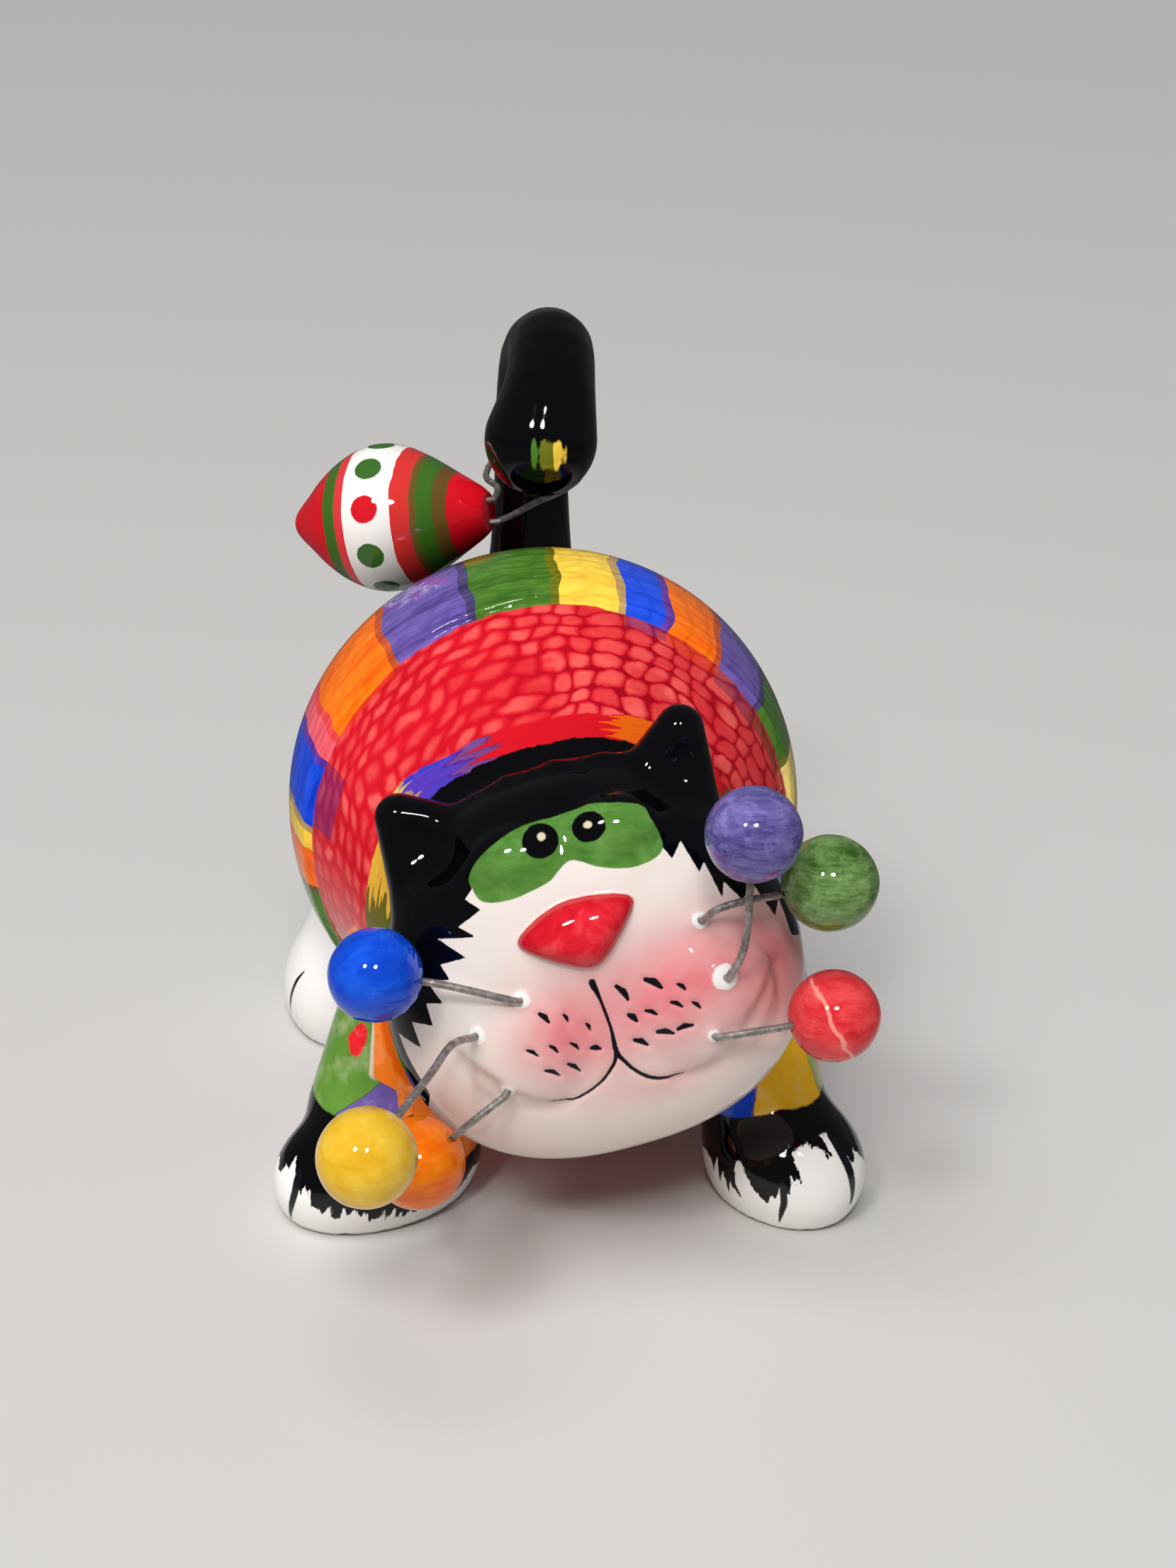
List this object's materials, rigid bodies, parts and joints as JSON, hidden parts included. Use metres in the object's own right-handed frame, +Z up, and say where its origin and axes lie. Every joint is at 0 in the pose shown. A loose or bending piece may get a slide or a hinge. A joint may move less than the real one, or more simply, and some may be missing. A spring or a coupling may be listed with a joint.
{
  "type": "glazed ceramic cat figurine",
  "caption": "Round standing cat figurine in a patchwork jumper, with wire whiskers ending in painted beads and a striped ornament hung on its hooked tail.",
  "frame": {"origin": "middle of the whole object's box, at the level the paws stand on", "axes": "+Z up; the cat faces -Y; +X is on the viewer's right when looking at its face"},
  "size_m": [0.0919, 0.1478, 0.1235],
  "materials": {
    "cat_glaze": "hand-painted under clear gloss glaze",
    "bead_blue": "brushed colour under clear gloss",
    "bead_yellow": "brushed colour under clear gloss",
    "bead_orange": "brushed colour under clear gloss",
    "bead_purple": "brushed colour under clear gloss",
    "bead_green": "brushed colour under clear gloss",
    "bead_red": "brushed colour under clear gloss",
    "ornament_glaze": "painted bands and dots under clear gloss",
    "wire_steel": "dull grey annealed wire"
  },
  "bodies": {
    "root": {"cat": "cat_glaze", "whisker_wire_blue": "wire_steel", "whisker_wire_yellow": "wire_steel", "whisker_wire_orange": "wire_steel", "whisker_wire_purple": "wire_steel", "whisker_wire_green": "wire_steel", "whisker_wire_red": "wire_steel", "whisker_bead_blue": "bead_blue", "whisker_bead_yellow": "bead_yellow", "whisker_bead_orange": "bead_orange", "whisker_bead_purple": "bead_purple", "whisker_bead_green": "bead_green", "whisker_bead_red": "bead_red", "ornament": "ornament_glaze", "ornament_hanger": "wire_steel"}
  },
  "joints": []
}
